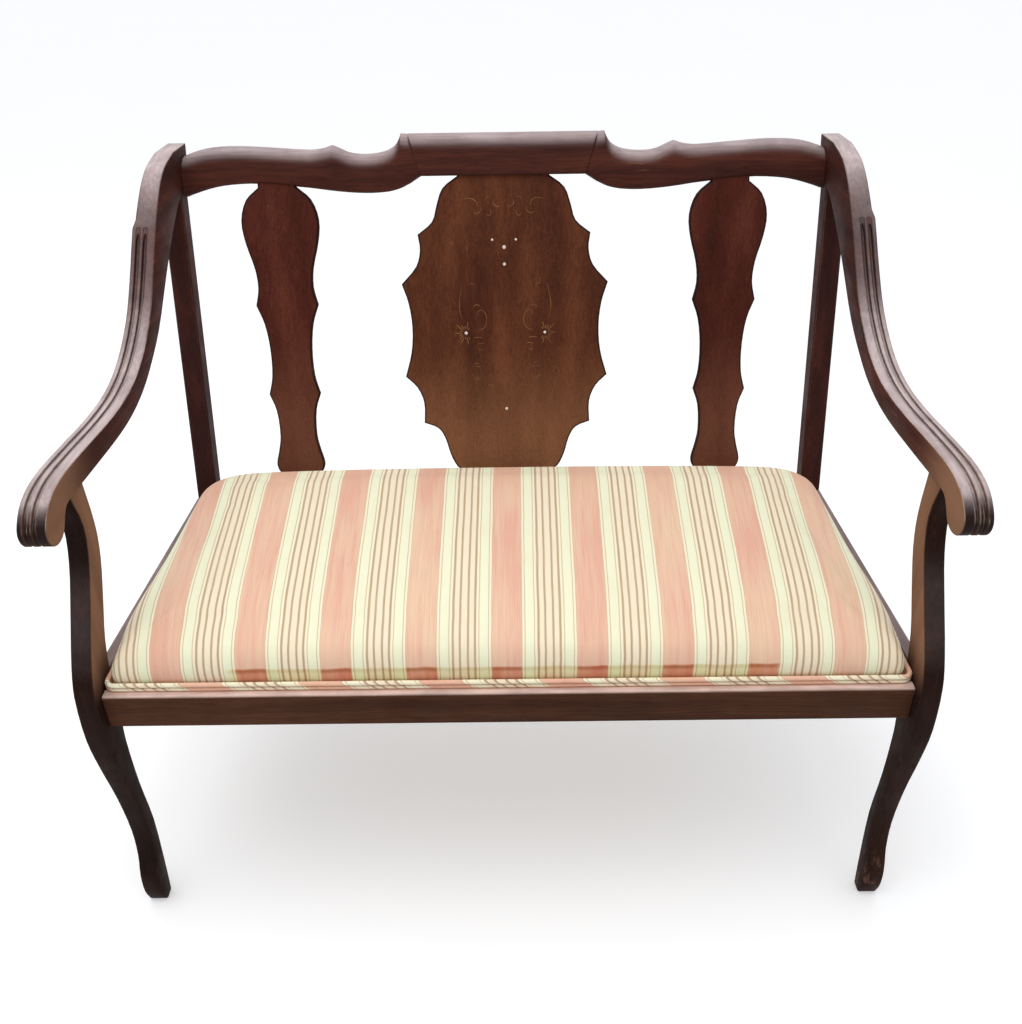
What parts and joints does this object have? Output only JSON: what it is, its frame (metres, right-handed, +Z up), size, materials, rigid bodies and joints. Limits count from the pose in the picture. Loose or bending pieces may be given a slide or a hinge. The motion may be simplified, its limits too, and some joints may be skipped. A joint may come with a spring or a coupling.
{
  "type": "upholstered settee",
  "caption": "Mahogany settee with swept reeded arms, a raked back of shaped splats under a serpentine crest, and a stuffed seat in striped cloth edged with corded welt.",
  "frame": {"origin": "bottom centre of the bounding box, at floor level", "axes": "+Z up, -Y towards the front of the seat, +X to the right seen from the front"},
  "size_m": [1.0772, 0.6304, 0.9362],
  "materials": {
    "dark_mahogany": "polished",
    "splat_mahogany": "polished",
    "inner_frame_beech": "bare",
    "screw_steel": "plain",
    "jute_webbing": "woven",
    "hessian": "woven",
    "hair_stuffing": "matted",
    "striped_cloth": "woven",
    "welt_cloth": "woven"
  },
  "bodies": {
    "root": {"front_leg_left": "dark_mahogany", "back_post_left": "dark_mahogany", "arm_left": "dark_mahogany", "side_rail_left": "dark_mahogany", "front_leg_right": "dark_mahogany", "back_post_right": "dark_mahogany", "arm_right": "dark_mahogany", "side_rail_right": "dark_mahogany", "front_seat_rail": "dark_mahogany", "back_seat_rail": "dark_mahogany", "crest_rail": "dark_mahogany", "center_splat": "splat_mahogany", "splat_left": "splat_mahogany", "splat_right": "splat_mahogany", "seat_cross_rail": "inner_frame_beech", "arm_dowel_left": "inner_frame_beech", "arm_dowel_right": "inner_frame_beech", "corner_block_front_left": "inner_frame_beech", "screw_front_left_end": "screw_steel", "screw_front_left_side": "screw_steel", "corner_block_front_right": "inner_frame_beech", "screw_front_right_end": "screw_steel", "screw_front_right_side": "screw_steel", "corner_block_back_left": "inner_frame_beech", "screw_back_left_end": "screw_steel", "screw_back_left_side": "screw_steel", "corner_block_back_right": "inner_frame_beech", "screw_back_right_end": "screw_steel", "screw_back_right_side": "screw_steel", "webbing_front_to_back_1": "jute_webbing", "webbing_front_to_back_2": "jute_webbing", "webbing_front_to_back_3": "jute_webbing", "webbing_front_to_back_4": "jute_webbing", "webbing_front_to_back_5": "jute_webbing", "webbing_front_to_back_6": "jute_webbing", "webbing_front_to_back_7": "jute_webbing", "webbing_side_to_side_1": "jute_webbing", "webbing_side_to_side_2": "jute_webbing", "webbing_side_to_side_3": "jute_webbing", "hessian": "hessian", "seat_stuffing": "hair_stuffing", "seat_cover": "striped_cloth", "double_welt": "welt_cloth"}
  },
  "joints": []
}
